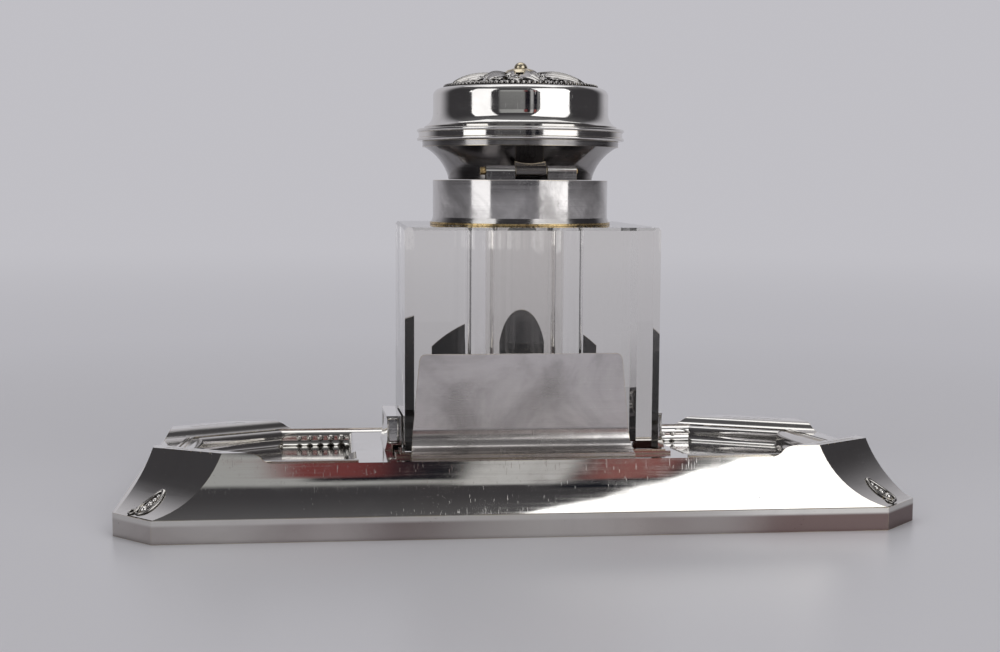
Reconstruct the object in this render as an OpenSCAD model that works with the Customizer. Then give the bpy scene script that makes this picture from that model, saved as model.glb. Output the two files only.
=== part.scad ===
// Desk inkstand: a silver plated stand with two trays and a pen channel, and a cut glass
// inkwell with a hinged lid. Millimetres. The origin is on the table under the middle of the
// base, +Z is up, -Y is the writer's side and the lid's hinge is on the +Y side.

/* [Base] */
// Width of the foot, left to right
base_w = 215.6; // [206:0.2:240]
// Depth of the foot, front to back
base_d = 118.2; // [116:0.2:136]
// Leg of the 45 degree cut at each corner of the foot
foot_cut = 11.1; // [8:0.1:14]
// Height of the upright foot band
foot_h = 6.2; // [4.6:0.1:7.4]
// Width of the ledge on top of the foot band
foot_ledge = 0.8; // [0.4:0.1:1.4]
// Lean of the left and right walls from foot to pads
side_run = 9.3; // [7:0.1:11]
// Lean of the front and back walls from foot to pads
end_run = 6; // [4:0.1:7.5]
// Lean of the corner facets from foot to pads
facet_run = 16.5; // [13:0.1:18]
// Hollow of the walls below a straight line
wall_sag = 0.9; // [0.6:0.1:2.4]
// Hollow of the corner facets below a straight line
facet_sag = 2.5; // [1.6:0.1:3.2]
// Height of the rim at the middle of the base
rim_h = 15; // [14:0.1:17]
// Slope of the whole top towards the writer, in degrees
top_tilt = 4.7; // [3:0.1:5]
// Thickness of the metal of the shell
sheet = 1.4; // [1:0.1:1.8]

/* [Corner pads] */
// Rise of the corner pads above the rim
pad_rise = 2.9; // [2:0.1:3.6]
// Width of the flat top of a pad, across its strip
pad_w = 4.5; // [3:0.1:7]
// Run of the curve from a pad down to the rim
pad_roll = 5; // [4:0.1:8]
// Rows of tiles on a pad
tile_rows = 2; // [2:1:4]
// Pitch of the tiles along the strip
tile_pitch = 3.7; // [3:0.1:5]
// Length of the tiled strip
tile_run = 22; // [16:0.2:26]
// Width of the grooves between the tiles
tile_groove = 0.4; // [0.3:0.05:0.8]
// Depth of the grooves between the tiles
tile_deep = 0.35; // [0.2:0.05:0.6]
// Beads of the drop ornament on each corner facet
drop_beads = 4; // [3:1:5]
// Radius of the lowest bead
drop_r = 1; // [0.7:0.1:1.8]
// Share of its size that each next bead keeps
drop_shrink = 0.84; // [0.7:0.02:0.9]

/* [Trays] */
// Foot edge to the trays at the sides
side_rim = 14.8; // [14:0.1:18]
// Foot edge to the trays at the back
back_rim = 11; // [10:0.1:13]
// Foot edge to the pen channel at the front
front_rim = 8.5; // [8:0.1:9.5]
// Depth of the trays below the rim
tray_deep = 4.8; // [4.4:0.1:5.4]
// Run of the curved tray wall
tray_roll = 4.4; // [4:0.1:5.6]
// Width of each line of the raised double border
line_w = 0.7; // [0.5:0.05:1]
// Height of the border lines
line_h = 0.4; // [0.2:0.05:0.6]

/* [Underside] */
// Thickness of the felt
felt_t = 1; // [0.6:0.1:1.6]
// Thickness of the closing panel
panel_t = 1.6; // [1.2:0.1:2.2]
// Gap between the panel or felt and the shell's wall
panel_gap = 0.4; // [0.2:0.05:0.8]
// Screw place, in from the foot's edge at the side
screw_in_x = 19.8; // [18:0.2:21]
// Screw place, in from the foot's edge at the front or back
screw_in_y = 16.6; // [15:0.2:18]
// Screw shank diameter
screw_d = 2.4; // [2:0.1:2.8]
// Screw head diameter
screw_head = 4.8; // [4.2:0.1:5.4]
// Screw length under its head
screw_len = 7; // [5:0.2:8]
// Boss diameter
boss_d = 6.4; // [5.6:0.1:7]

/* [Glass] */
// Side of the glass block
glass_w = 70; // [66:0.5:71]
// Height of the glass block
glass_h = 70; // [60:0.5:76]
// Offset of the glass to the side, as on the piece that was photographed
glass_x = -3.6; // [-3.6:0.1:3.6]
// Offset of the glass towards the back
glass_y = 4; // [3.6:0.1:4.4]
// Bevel on the upright edges of the glass
glass_bevel = 2.4; // [2.2:0.1:3]
// Bevel on the top and bottom edges of the glass
glass_edge = 0.8; // [0.4:0.1:1]
// Diameter of the ink bore
bore_d = 34; // [28:0.5:35]
// Depth of the ink bore below the top of the block
bore_deep = 46; // [36:0.5:50]
// Bevel round the bottom of the bore
bore_round = 5; // [2:0.5:9]
// Outer diameter of the glass neck inside the collar
mouth_d = 42.6; // [41:0.1:43.4]
// Clearance between the glass and what holds it
glass_fit = 0.3; // [0.25:0.05:0.6]

/* [Well] */
// Height of the well's floor above the table
well_floor = 8.8; // [7:0.1:9.4]
// Wall thickness of the well
well_wall = 1; // [0.8:0.1:1.2]
// Width of the well's flange on the base
well_flange = 1.2; // [0.8:0.1:1.3]
// Rise of the well's edge above the base
well_rise = 1.2; // [1:0.1:1.4]
// Thickness of the pad under the glass
bed_t = 1; // [0.5:0.1:1.5]

/* [Plates and brackets] */
// Thickness of the upright plates
plate_t = 1.2; // [1:0.1:1.5]
// Width of the back plate at its top
rear_top_w = 55; // [45:0.5:58]
// Width of the back plate at its foot
rear_foot_w = 60; // [50:0.5:64]
// Height of the back plate's top above the table
rear_top = 46; // [38:0.5:52]
// Height of the back plate's tapered part
rear_taper = 27; // [20:0.5:28]
// Rounding of the back plate's top corners
rear_round = 1.5; // [1:0.1:2]
// Radius of the flare at the foot of the back plate
rear_flare = 6; // [5:0.1:6.4]
// Width of the front plate
front_w = 50; // [40:0.5:56]
// Height of the front plate's shoulders above the table
front_side = 43; // [36:0.5:45]
// Height of the crown of the front plate's arch
front_top = 53; // [49:0.5:58]
// Radius of the flare at the foot of the front plate
front_flare = 4.5; // [4.2:0.1:4.6]
// Flat foot of each plate beyond its flare
plate_foot = 1.2; // [0.6:0.1:1.4]
// Length of each side bracket
bracket_len = 44; // [36:0.5:54]
// How far each side bracket reaches behind the middle of the glass
bracket_end = 18; // [10:0.5:27]
// Height of each side bracket above the base
bracket_h = 9.6; // [6:0.1:11]
// Thickness of each side bracket at its top
bracket_t = 4.2; // [3.6:0.1:6]
// Thickness of each side bracket at its foot
bracket_foot = 4.7; // [4.4:0.1:9]
// Hollow of the brackets' outer face
bracket_sag = 0.6; // [0.4:0.1:1.2]

/* [Collar] */
// Diameter of the collar
collar_d = 50.8; // [50:0.2:56]
// Height of the collar
collar_h = 12; // [9:0.1:14]
// Metal thickness of the collar
collar_t = 1.2; // [1:0.1:1.4]
// Flare of the collar's foot
collar_flare = 0.5; // [0.2:0.1:0.8]
// Inner diameter of the collar's lip
lip_d = 37; // [36.4:0.1:38]
// Thickness of the washer under the collar
washer_t = 0.6; // [0.4:0.1:1]
// Seat gap between parts that are fixed to each other
seat = 0.05; // [0.02:0.01:0.1]

/* [Lid] */
// Gap between the closed lid and the collar
lid_gap = 0.2; // [0.15:0.05:0.4]
// Diameter of the lid's neck at its foot
neck_foot_d = 41.6; // [40.6:0.1:42]
// Diameter of the lid's neck under its flange
neck_top_d = 56; // [54:0.2:58]
// Height of the neck
neck_h = 9.3; // [8:0.1:11]
// Hollow of the neck's curve
neck_sag = 1.3; // [0.8:0.1:1.6]
// Metal thickness of the neck
neck_t = 1.3; // [1:0.1:1.5]
// Step of the neck's flange beyond the neck
flange_step = 0.4; // [0.2:0.1:0.8]
// Thickness of the neck's flange
flange_t = 1.6; // [1.2:0.1:2]
// Diameter over the band's beads
band_d = 60.1; // [58.4:0.1:62]
// Width of the band's ring, from its hole to its beads
band_w = 5; // [4:0.1:6]
// Height of the band
band_h = 3.5; // [3:0.1:4.5]
// Radius of the beads at the band's edges
bead_r = 0.5; // [0.3:0.05:0.7]
// Diameter of the drum at its foot
drum_foot_d = 55.8; // [53:0.2:56.6]
// Diameter of the drum's upright part
drum_d = 50.8; // [48:0.2:52]
// Height of the drum
drum_h = 11.6; // [9:0.1:14]
// Height of the flare at the drum's foot
drum_flare_h = 4.6; // [3:0.1:5.6]
// Rounding at the drum's shoulder
drum_round = 2.2; // [1:0.1:3]
// Metal thickness of the drum
drum_t = 1.1; // [0.9:0.1:1.4]
// Diameter of the embossed top
top_d = 45; // [42:0.2:45.4]
// Rise of the plain dome under the relief
dome_rise = 3; // [2:0.1:4]
// Thickness of the top
top_t = 1.2; // [1:0.1:1.6]
// Leaves of the relief
leaves = 8; // [5:1:12]
// Proud height of the leaves
leaf_rise = 1.2; // [0.6:0.1:1.6]
// Radius of the swelling that forms each leaf
leaf_r = 9; // [7:0.5:10]
// Place of the leaves as a share of the top's radius
leaf_place = 0.62; // [0.5:0.02:0.66]
// Radius of the roped border of the relief
rope_r = 0.8; // [0.5:0.05:1]
// Diameter of the finial's flower
flower_d = 10; // [8:0.2:12]
// Undercut of the flower's rim
flower_lip = 1.4; // [1:0.1:1.8]
// Diameter of the finial's button
button_d = 4; // [3:0.1:5]
// Height of the finial above the dome
finial_h = 4.6; // [3:0.1:6]
// Thickness of the lining disc
liner_t = 0.8; // [0.6:0.1:1.2]

/* [Hinge] */
// Distance of the hinge pin behind the collar's centre
hinge_out = 24.6; // [24.2:0.1:25.2]
// Height of the hinge pin above the collar
hinge_up = 2.5; // [2.2:0.1:2.8]
// Diameter of the knuckles
knuckle_d = 3.1; // [2.8:0.1:3.3]
// Length over all knuckles
hinge_len = 25; // [20:0.5:26]
// Length of the middle knuckle
mid_len = 8.5; // [6:0.1:10]
// Diameter of the hinge pin
pin_d = 1.6; // [1.2:0.1:1.8]
// Running clearance round the pin
pin_fit = 0.05; // [0.03:0.01:0.08]
// Side gap between knuckles
knuckle_gap = 0.2; // [0.1:0.05:0.4]
// How far the pin stands out at its head end
pin_out = 1.5; // [0.8:0.1:2]
// Diameter of the pin's head
pin_head = 2.2; // [1.9:0.1:2.6]

/* [Hidden] */
$fn = 96;
BIG = 300;
EPS = 0.02;
// how far a rolled edge crosses the faces that it joins, so that they meet in a crease
crease = 0.15;

// base
half_w = base_w / 2;
half_d = base_d / 2;
screw_x = half_w - screw_in_x;
screw_y = half_d - screw_in_y;
facet_half = (half_w + half_d - foot_cut) / sqrt(2);
slope = tan(top_tilt);
wall_top = rim_h + pad_rise + (half_d - end_run - pad_w) * slope;
pad_from = facet_half - facet_run - pad_w;
tray_x = half_w - side_rim;
tray_back = half_d - back_rim;
tray_front = half_d - front_rim;
tray_diag = pad_from - pad_roll;

// glass and well
glass_r = glass_w / 2;
glass_z = well_floor + bed_t + lid_gap;
glass_top = glass_z + glass_h;
well_in = glass_w + 2 * glass_fit;
well_out = well_in + 2 * well_wall;
bore_r = bore_d / 2;

// plates and brackets
land_half = abs(glass_x) + glass_r + glass_fit + bracket_foot + 0.5;
front_face = glass_r - glass_y + glass_fit + plate_t;
rear_face = glass_r + glass_y + glass_fit + plate_t;
land_front = front_face + front_flare + plate_foot + 0.3;
bracket_from = glass_y + bracket_end - bracket_len;

// collar and lid
washer_z = glass_top + seat;
collar_z = washer_z + washer_t + seat;
collar_top = collar_z + collar_h;
collar_r = collar_d / 2;
mouth_top = collar_top - collar_t - seat;
lid_z = collar_top + lid_gap;
neck_top = lid_z + neck_h;
flange_top = neck_top + flange_t;
band_z = flange_top + seat;
band_top = band_z + band_h;
drum_z = band_top + seat;
drum_top = drum_z + drum_h;
top_r = top_d / 2;
dome_r = (top_r * top_r + dome_rise * dome_rise) / (2 * dome_rise);
dome_z = drum_top + seat + dome_rise;

// hinge
hinge_y = glass_y + hinge_out;
hinge_z = collar_top + hinge_up;
knuckle_r = knuckle_d / 2;

// Height of the sloping rim plane at a place front to back
function land_z(y) = rim_h + y * slope;

// Radius of an arc from its chord and its depth
function arc_r(chord, sag) = (chord * chord / 4 + sag * sag) / (2 * sag);

// Puts its children in the frame of the sloping top, with z = 0 on the rim
module on_top() {
    translate([0, 0, rim_h]) rotate([top_tilt, 0, 0]) children();
}

// Disc that hollows a line from a low point to a higher point further in
module hollow_disc(low, high, sag) {
    chord = norm(high - low);
    r = arc_r(chord, sag);
    along = (high - low) / chord;
    out = [along[1], -along[0]];
    middle = (high + low) / 2 + out * (r - sag);
    translate(middle) circle(r);
}

// Sweeps a section, drawn across the given direction, right through the base
module sweep(angle) {
    rotate([0, 0, angle]) translate([0, BIG / 2, 0]) rotate([90, 0, 0])
        linear_extrude(BIG) children();
}

// Bar that hollows one wall, or one corner facet, all along its length above the foot band
module wall_hollow(angle, half, run, sag, inset) {
    low = [half - foot_ledge - inset, foot_h];
    high = [half - run - inset, wall_top];
    sweep(angle) intersection() {
        hollow_disc(low, high, sag);
        translate([0, foot_h]) square(BIG);
    }
}

// Curve that rolls off a level at the top and runs into a level h lower, w further along;
// the solid side is to the right and below
module roll_section(w, h, out, deep) {
    r = (w * w + h * h) / (4 * h);
    translate([0, -deep]) square([out, deep]);
    intersection() {
        translate([0, -r]) circle(r);
        translate([-w / 2, -h / 2]) square([w / 2 + EPS, h / 2]);
    }
    difference() {
        translate([-w, -deep]) square([w + EPS, deep - h / 2]);
        translate([-w, r - h]) circle(r);
    }
}

// Plan of one corner's pad strip as a block with its inner side rolled down to the rim
module pad_blocks(drop) {
    for (corner = [45, 135, 225, 315]) rotate([0, 0, corner]) rotate([90, 0, 0])
        translate([pad_from, pad_rise - drop, -BIG / 4]) linear_extrude(BIG / 2)
            roll_section(pad_roll, pad_rise + crease, BIG / 4, 8);
}

// Outer form of the base, or the form of its hollow when inset and lowered by the sheet
module base_form(inset) {
    difference() {
        union() {
            linear_extrude(foot_h - inset) foot_plan(inset);
            linear_extrude(wall_top + foot_h) foot_plan(inset + foot_ledge);
        }
        for (turn = [0, 180]) {
            wall_hollow(turn, half_w, side_run, wall_sag, inset);
            wall_hollow(turn + 90, half_d, end_run, wall_sag, inset);
            wall_hollow(turn + 45, facet_half, facet_run, facet_sag, inset);
            wall_hollow(turn - 45, facet_half, facet_run, facet_sag, inset);
        }
        on_top() difference() {
            translate([-BIG / 2, -BIG / 2, -inset]) cube([BIG, BIG, 60]);
            pad_blocks(inset);
        }
    }
}

// Rolled wall along one side of the trays, with its solid side outwards
module tray_wall(angle, edge, grow) {
    sweep(angle) translate([edge + grow, crease])
        roll_section(tray_roll, tray_deep + grow + 2 * crease, 2, 30);
}

// Land that stays between the trays and behind the pen channel, with rolled walls
module land_block(grow) {
    deep = tray_deep + grow + 2 * crease;
    half = land_half - grow;
    intersection() {
        sweep(0) {
            translate([half, crease]) mirror([1, 0]) roll_section(tray_roll, deep, half, 30);
            translate([-half, crease]) roll_section(tray_roll, deep, half + EPS, 30);
        }
        sweep(90) translate([grow - land_front, crease])
            roll_section(tray_roll, deep, BIG / 3, 29);
    }
}

// Both trays and the pen channel in front, as one void; grow makes it larger all round
module tray_void(grow) {
    on_top() difference() {
        translate([0, 0, -tray_deep - grow]) linear_extrude(25) basin_plan(grow);
        tray_wall(0, tray_x, grow);
        tray_wall(180, tray_x, grow);
        tray_wall(90, tray_back, grow);
        tray_wall(270, tray_front, grow);
        for (corner = [45, 135, 225, 315]) tray_wall(corner, tray_diag, grow);
        land_block(grow);
    }
}

// Metal left round and under the trays where the shell is hollowed
module tray_backing() {
    on_top() translate([0, 0, -tray_deep - sheet]) linear_extrude(25) difference() {
        basin_plan(sheet);
        translate([sheet - land_half, sheet - land_front])
            square([2 * (land_half - sheet), BIG]);
    }
}

// Plan of the whole basin before the land is left standing in it
module basin_plan(grow) {
    intersection() {
        translate([-tray_x - grow, -tray_front - grow])
            square([2 * (tray_x + grow), tray_front + tray_back + 2 * grow]);
        rotate(45) square(2 * (tray_diag + grow), center = true);
    }
}

// Two raised lines round the trays, left out where the land meets the back rim
module border_lines() {
    for (ring = [1, 3]) on_top() translate([0, 0, -EPS]) linear_extrude(line_h + EPS)
        difference() {
            basin_plan((ring + 1) * line_w);
            basin_plan(ring * line_w);
            translate([-land_half, 0]) square([2 * land_half, BIG]);
        }
}

// How far the middle of corner k's facet lies to the side of the 45 degree line, from its
// foot (rise 0) to its top (rise 1)
function corner_side(k, rise) =
    (k % 2 == 0 ? -1 : 1) * (half_w - half_d - rise * (side_run - end_run)) / sqrt(2);

// Grooves that part the tiles of the corner pads
module tile_grooves() {
    row = pad_w / tile_rows;
    columns = floor(tile_run / tile_pitch);
    for (k = [0 : 3]) on_top() rotate([0, 0, 45 + 90 * k])
        translate([pad_from, corner_side(k, 1), pad_rise - tile_deep]) linear_extrude(2) {
            for (i = [1 : tile_rows - 1])
                translate([i * row, -tile_run / 2]) square([tile_groove, tile_run]);
            for (k = [0 : columns])
                translate([0.6, (k - columns / 2) * tile_pitch]) square([pad_w, tile_groove]);
        }
}

// Beads of the drop on each corner facet, smaller upwards and sunk to their middles
module corner_drops() {
    low = [facet_half - foot_ledge, foot_h];
    high = [facet_half - facet_run, wall_top];
    chord = norm(high - low);
    along = (high - low) / chord;
    out = [along[1], -along[0]];
    bow = arc_r(chord, facet_sag);
    for (k = [0 : 3], i = [0 : drop_beads - 1]) {
        r = drop_r * pow(drop_shrink, i);
        step = 3 + 2 * drop_r * (1 - pow(drop_shrink, i)) / (1 - drop_shrink);
        hollow = sqrt(bow * bow - pow(step - chord / 2, 2)) - bow + facet_sag;
        place = low + along * step - out * (hollow + 0.1);
        rotate([0, 0, 45 + 90 * k])
            translate([place[0], corner_side(k, step / chord), place[1]]) sphere(r, $fn = 24);
    }
}

// Stand's shell: hollow foot, curved walls, sloping rim, trays, pads and the hole for the well
module base_shell() color("silver") difference() {
    union() {
        difference() {
            base_form(0);
            tray_void(0);
        }
        border_lines();
        corner_drops();
    }
    tile_grooves();
    difference() {
        base_form(sheet);
        tray_backing();
    }
    translate([0, 0, -EPS]) linear_extrude(1) foot_plan(sheet);
    translate([glass_x, glass_y, 0]) linear_extrude(BIG) square(well_out + 2 * seat, center = true);
}

// Plan of the foot inside a wall
module foot_plan(inset) {
    intersection() {
        square([base_w - 2 * inset, base_d - 2 * inset], center = true);
        rotate(45) square(2 * (facet_half - inset), center = true);
    }
}

// Sheet that closes the underside, drilled for its screws
module closing_panel() color("dimgray") difference() {
    translate([0, 0, felt_t + seat]) linear_extrude(panel_t) foot_plan(sheet + panel_gap);
    screw_places() cylinder(d = screw_d + 0.3, h = 20);
    screw_places() translate([0, 0, felt_t]) cylinder(d = screw_head + 0.4, h = panel_t / 2 + seat);
}

// Felt that the stand rests on
module felt_sheet() color("darkgreen") linear_extrude(felt_t) foot_plan(sheet + panel_gap);

module screw_places() {
    for (x = [-1, 1], y = [-1, 1]) translate([x * screw_x, y * screw_y, 0]) children();
}

// Bosses soldered under the pads for the panel's screws
module screw_bosses() color("gray") difference() {
    intersection() {
        screw_places() translate([0, 0, felt_t + panel_t + 3 * seat]) cylinder(d = boss_d, h = 30);
        base_form(sheet + seat);
    }
    screw_places() cylinder(d = screw_d + 0.1, h = felt_t + panel_t + screw_len + 1);
}

module panel_screws() color("gray") screw_places() {
    translate([0, 0, felt_t + 2 * seat]) cylinder(d = screw_head, h = panel_t / 2 - seat);
    translate([0, 0, felt_t + panel_t / 2]) cylinder(d = screw_d, h = screw_len);
}

// Square well that the glass stands in, with a flange on the base
module glass_well() color("silver") translate([glass_x, glass_y, 0]) difference() {
    union() {
        translate([0, 0, well_floor - well_wall]) linear_extrude(BIG / 2)
            square(well_out, center = true);
        on_top_of_well(seat) linear_extrude(BIG / 2)
            square(well_out + 2 * well_flange, center = true);
    }
    translate([0, 0, well_floor]) linear_extrude(BIG) square(well_in, center = true);
    on_top_of_well(well_rise) linear_extrude(BIG) square(BIG, center = true);
    difference() {
        on_top_of_well(well_rise * 0.65) linear_extrude(BIG) square(BIG, center = true);
        translate([0, 0, -1]) linear_extrude(BIG) square(well_out, center = true);
    }
}

// Frame on the sloping top, moved to the well's middle
module on_top_of_well(up) {
    translate([0, 0, land_z(glass_y)]) rotate([top_tilt, 0, 0]) translate([0, 0, up]) children();
}

// Pad between the well's floor and the glass
module glass_bed() color("saddlebrown") translate([glass_x, glass_y, well_floor]) linear_extrude(bed_t)
    square(well_in - 2 * glass_fit, center = true);

// Side view of an upright plate with its flared foot; x runs away from the glass
module plate_section(face, flare, foot_z, top) {
    centre = [face + flare, foot_z + plate_t + flare];
    translate([face - plate_t, centre[1]]) square([plate_t, top - centre[1]]);
    intersection() {
        difference() {
            translate(centre) circle(flare + plate_t);
            translate(centre) circle(flare);
        }
        translate(centre - [flare + plate_t, flare + plate_t])
            square([flare + plate_t, flare + plate_t + EPS]);
    }
    translate([centre[0] - 1, foot_z - 1]) square([plate_foot + 1, plate_t + 1]);
}

// Everything below the sloping rim plane
module below_land() {
    on_top() translate([-BIG / 2, -BIG / 2, seat - BIG]) cube(BIG);
}

// Back plate: tapered, with softened top corners
module rear_plate() color("silver") difference() {
    rear_plate_form();
    below_land();
}

module rear_plate_form() intersection() {
    rotate([90, 0, 90]) translate([0, 0, -rear_foot_w / 2]) linear_extrude(rear_foot_w)
        plate_section(rear_face, rear_flare, land_z(rear_face + rear_flare), rear_top);
    rotate([90, 0, 0]) translate([0, 0, -BIG / 2]) linear_extrude(BIG) difference() {
        polygon([[-rear_foot_w / 2, 0], [rear_foot_w / 2, 0],
                 [rear_foot_w / 2, rear_top - rear_taper], [rear_top_w / 2, rear_top],
                 [-rear_top_w / 2, rear_top], [-rear_foot_w / 2, rear_top - rear_taper]]);
        for (side = [-1, 1]) translate([side * rear_top_w / 2, rear_top]) difference() {
            square(2 * rear_round, center = true);
            translate([-side * rear_round, -rear_round]) circle(rear_round);
            translate([-side * rear_round - (side + 1), -2 * rear_round])
                square([2, 2 * rear_round]);
            translate([-2, -3 * rear_round]) square([4, 2 * rear_round]);
        }
    }
}

// Front plate: arched
module front_plate() color("silver") difference() {
    translate([glass_x, 0, 0]) mirror([0, 1, 0]) front_plate_form();
    below_land();
}

module front_plate_form() intersection() {
    rotate([90, 0, 90]) translate([0, 0, -front_w / 2]) linear_extrude(front_w)
        plate_section(front_face, front_flare, land_z(-front_face - front_flare), front_top);
    rotate([90, 0, 0]) translate([0, 0, -BIG / 2]) linear_extrude(BIG) {
        translate([-front_w / 2, 0]) square([front_w, front_side]);
        intersection() {
            translate([-front_w / 2, front_side - EPS]) square([front_w, BIG]);
            translate([0, front_top - arc_r(front_w, front_top - front_side)])
                circle(arc_r(front_w, front_top - front_side));
        }
    }
}

// Cast bracket beside the glass, with a hollowed outer face
module side_bracket() {
    inner = glass_r + glass_fit;
    low = [inner + bracket_foot, 0];
    high = [inner + bracket_t, bracket_h];
    on_top() translate([0, bracket_from, seat]) rotate([90, 0, 0]) mirror([0, 0, 1])
        linear_extrude(bracket_len) difference() {
            translate([inner, 0]) square([bracket_foot, bracket_h]);
            hollow_disc(low, high, bracket_sag);
            translate([high[0], bracket_h - 2]) square([bracket_foot, 3]);
            translate([inner - 1, -1])
                square([1 + well_wall + well_flange + 0.3, 1 + well_rise + 0.3]);
        }
}

module left_bracket() color("silver") translate([glass_x, 0, 0]) mirror([1, 0, 0]) side_bracket();

module right_bracket() color("silver") translate([glass_x, 0, 0]) side_bracket();

// Square with its corners cut at 45 degrees
module bevelled_square(side, bevel) {
    intersection() {
        square(side, center = true);
        rotate(45) square((2 * side - 2 * bevel) / sqrt(2), center = true);
    }
}

// Side view of the glass block with bevelled top and bottom edges
module glass_section() {
    polygon([[-glass_r, glass_edge], [-glass_r + glass_edge, 0], [glass_r - glass_edge, 0],
             [glass_r, glass_edge], [glass_r, glass_h - glass_edge],
             [glass_r - glass_edge, glass_h], [-glass_r + glass_edge, glass_h],
             [-glass_r, glass_h - glass_edge]]);
}

// Cut glass block with its bore and the mouth that carries the collar
module glass_block() color("gainsboro", 0.6) translate([glass_x, glass_y, glass_z]) difference() {
    union() {
        intersection() {
            linear_extrude(glass_h) bevelled_square(glass_w, glass_bevel);
            rotate([90, 0, 0]) translate([0, 0, -BIG / 2]) linear_extrude(BIG) glass_section();
            rotate([90, 0, 90]) translate([0, 0, -BIG / 2]) linear_extrude(BIG) glass_section();
        }
        translate([0, 0, glass_h - 5]) cylinder(d = mouth_d, h = mouth_top - glass_top + 5);
    }
    translate([0, 0, glass_h - bore_deep]) {
        cylinder(r1 = bore_r - bore_round, r2 = bore_r, h = bore_round);
        translate([0, 0, bore_round - EPS]) cylinder(r = bore_r, h = BIG);
    }
}

// Brass washer between the glass and the collar
module collar_washer() color("goldenrod") translate([glass_x, glass_y, washer_z]) difference() {
    cylinder(d = collar_d + 2 * collar_flare + 0.6, h = washer_t);
    translate([0, 0, -1]) cylinder(d = mouth_d + 2 * seat, h = washer_t + 2);
}

// Cement that holds the collar on the glass
module collar_cement() color("lightgray") translate([glass_x, glass_y, collar_z]) difference() {
    cylinder(d = collar_d - 2 * collar_t - 2 * seat, h = collar_h - collar_t - seat);
    translate([0, 0, -1]) cylinder(d = mouth_d + 2 * seat, h = collar_h);
}

// Collar round the mouth, with an inward lip
module collar() color("silver") translate([glass_x, glass_y, collar_z]) difference() {
    union() {
        cylinder(d = collar_d, h = collar_h);
        cylinder(d1 = collar_d + 2 * collar_flare, d2 = collar_d, h = 1.4);
    }
    translate([0, 0, -1]) cylinder(d = collar_d - 2 * collar_t, h = collar_h - collar_t + 1);
    cylinder(d = lip_d, h = BIG);
}

// Cylinder along the hinge line, by its centre and length
module along_hinge(from, to, r) {
    translate([glass_x + from, hinge_y, hinge_z]) rotate([0, 90, 0]) cylinder(r = r, h = to - from);
}

// Two outer knuckles on feet that stand on the collar
module hinge_lower_leaf() color("silver") difference() {
    union() for (side = [-1, 1]) {
        inner = mid_len / 2 + knuckle_gap;
        from = side > 0 ? inner : -hinge_len / 2;
        to = side > 0 ? hinge_len / 2 : -inner;
        along_hinge(from, to, knuckle_r);
        translate([glass_x + from, hinge_y - knuckle_r, collar_top + seat])
            cube([to - from, 2 * knuckle_r, hinge_up - seat]);
    }
    along_hinge(-BIG / 2, BIG / 2, pin_d / 2 + pin_fit);
}

// Brass hinge pin with a head at one end
module hinge_pin() color("goldenrod") union() {
    along_hinge(-hinge_len / 2 - 0.4, hinge_len / 2 + pin_out, pin_d / 2);
    along_hinge(hinge_len / 2 + knuckle_gap, hinge_len / 2 + pin_out, pin_head / 2);
}

// Half section of the neck's outside, up to and over its flange
module neck_outline() {
    low = [neck_foot_d / 2, 0];
    high = [neck_top_d / 2, neck_h];
    difference() {
        square([high[0], neck_h]);
        hollow_disc(low, high, neck_sag);
    }
    translate([0, neck_h - EPS]) square([high[0] + flange_step, flange_t + EPS]);
}

// Middle knuckle with its leaf, fitted to the neck
module hinge_upper_leaf() color("dimgray") difference() {
    union() {
        along_hinge(-mid_len / 2, mid_len / 2, knuckle_r);
        translate([glass_x - mid_len / 2, glass_y + neck_foot_d / 2 - 1.5, hinge_z])
            cube([mid_len, hinge_out - neck_foot_d / 2 + 1.5, knuckle_r]);
        translate([glass_x - mid_len / 2, glass_y + neck_foot_d / 2 - 1.5, hinge_z + EPS])
            cube([mid_len, 3.4, 4]);
    }
    along_hinge(-BIG / 2, BIG / 2, pin_d / 2 + pin_fit);
    translate([glass_x, glass_y, lid_z]) rotate_extrude() offset_neck();
}

// Neck outline with a seat gap
module offset_neck() {
    translate([seat, 0]) neck_outline();
    square([neck_foot_d / 2, neck_h]);
}

// Neck: a concave shell with a flange on top
module lid_neck() color("silver") translate([glass_x, glass_y, lid_z]) rotate_extrude() difference() {
    neck_outline();
    translate([-neck_t, 0]) difference() {
        neck_outline();
        translate([0, neck_h]) square(BIG);
    }
    square([neck_foot_d / 2 - neck_t, neck_h + flange_t + 1]);
    translate([0, neck_h - 1]) square([neck_top_d / 2 - 2.4, flange_t + 2]);
}

// Disc that closes the neck over the ink
module lid_lining() color("goldenrod") translate([glass_x, glass_y, lid_z + 0.6])
    cylinder(d = neck_foot_d - 2 * neck_t - 2 * seat, h = liner_t);

// Band with a bead along each edge
module lid_band() color("silver") translate([glass_x, glass_y, band_z]) rotate_extrude() {
    translate([band_d / 2 - band_w, 0]) square([band_w - bead_r, band_h]);
    for (z = [bead_r, band_h - bead_r]) translate([band_d / 2 - bead_r, z]) circle(bead_r);
}

// Half section of the drum's outside
module drum_outline() {
    low = [drum_foot_d / 2, 0.6];
    high = [drum_d / 2, drum_flare_h];
    top = drum_h;
    square([low[0], low[1]]);
    difference() {
        square([low[0], high[1]]);
        hollow_disc(low, high, 0.7);
        translate([0, -EPS]) square([low[0] + 1, EPS]);
    }
    translate([0, high[1] - EPS]) square([high[0], top - drum_round - high[1] + EPS]);
    square([high[0] - drum_round, top]);
    translate([high[0] - drum_round, top - drum_round]) circle(drum_round);
}

// Drum of the lid, open at the top for the embossed disc's seat
module lid_drum() color("silver") translate([glass_x, glass_y, drum_z]) rotate_extrude() difference() {
    intersection() {
        drum_outline();
        square([BIG, drum_h]);
    }
    translate([0, -1]) square([drum_d / 2 - drum_t, drum_h - drum_t + 1]);
    square([top_r - 2.5, BIG]);
}

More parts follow.
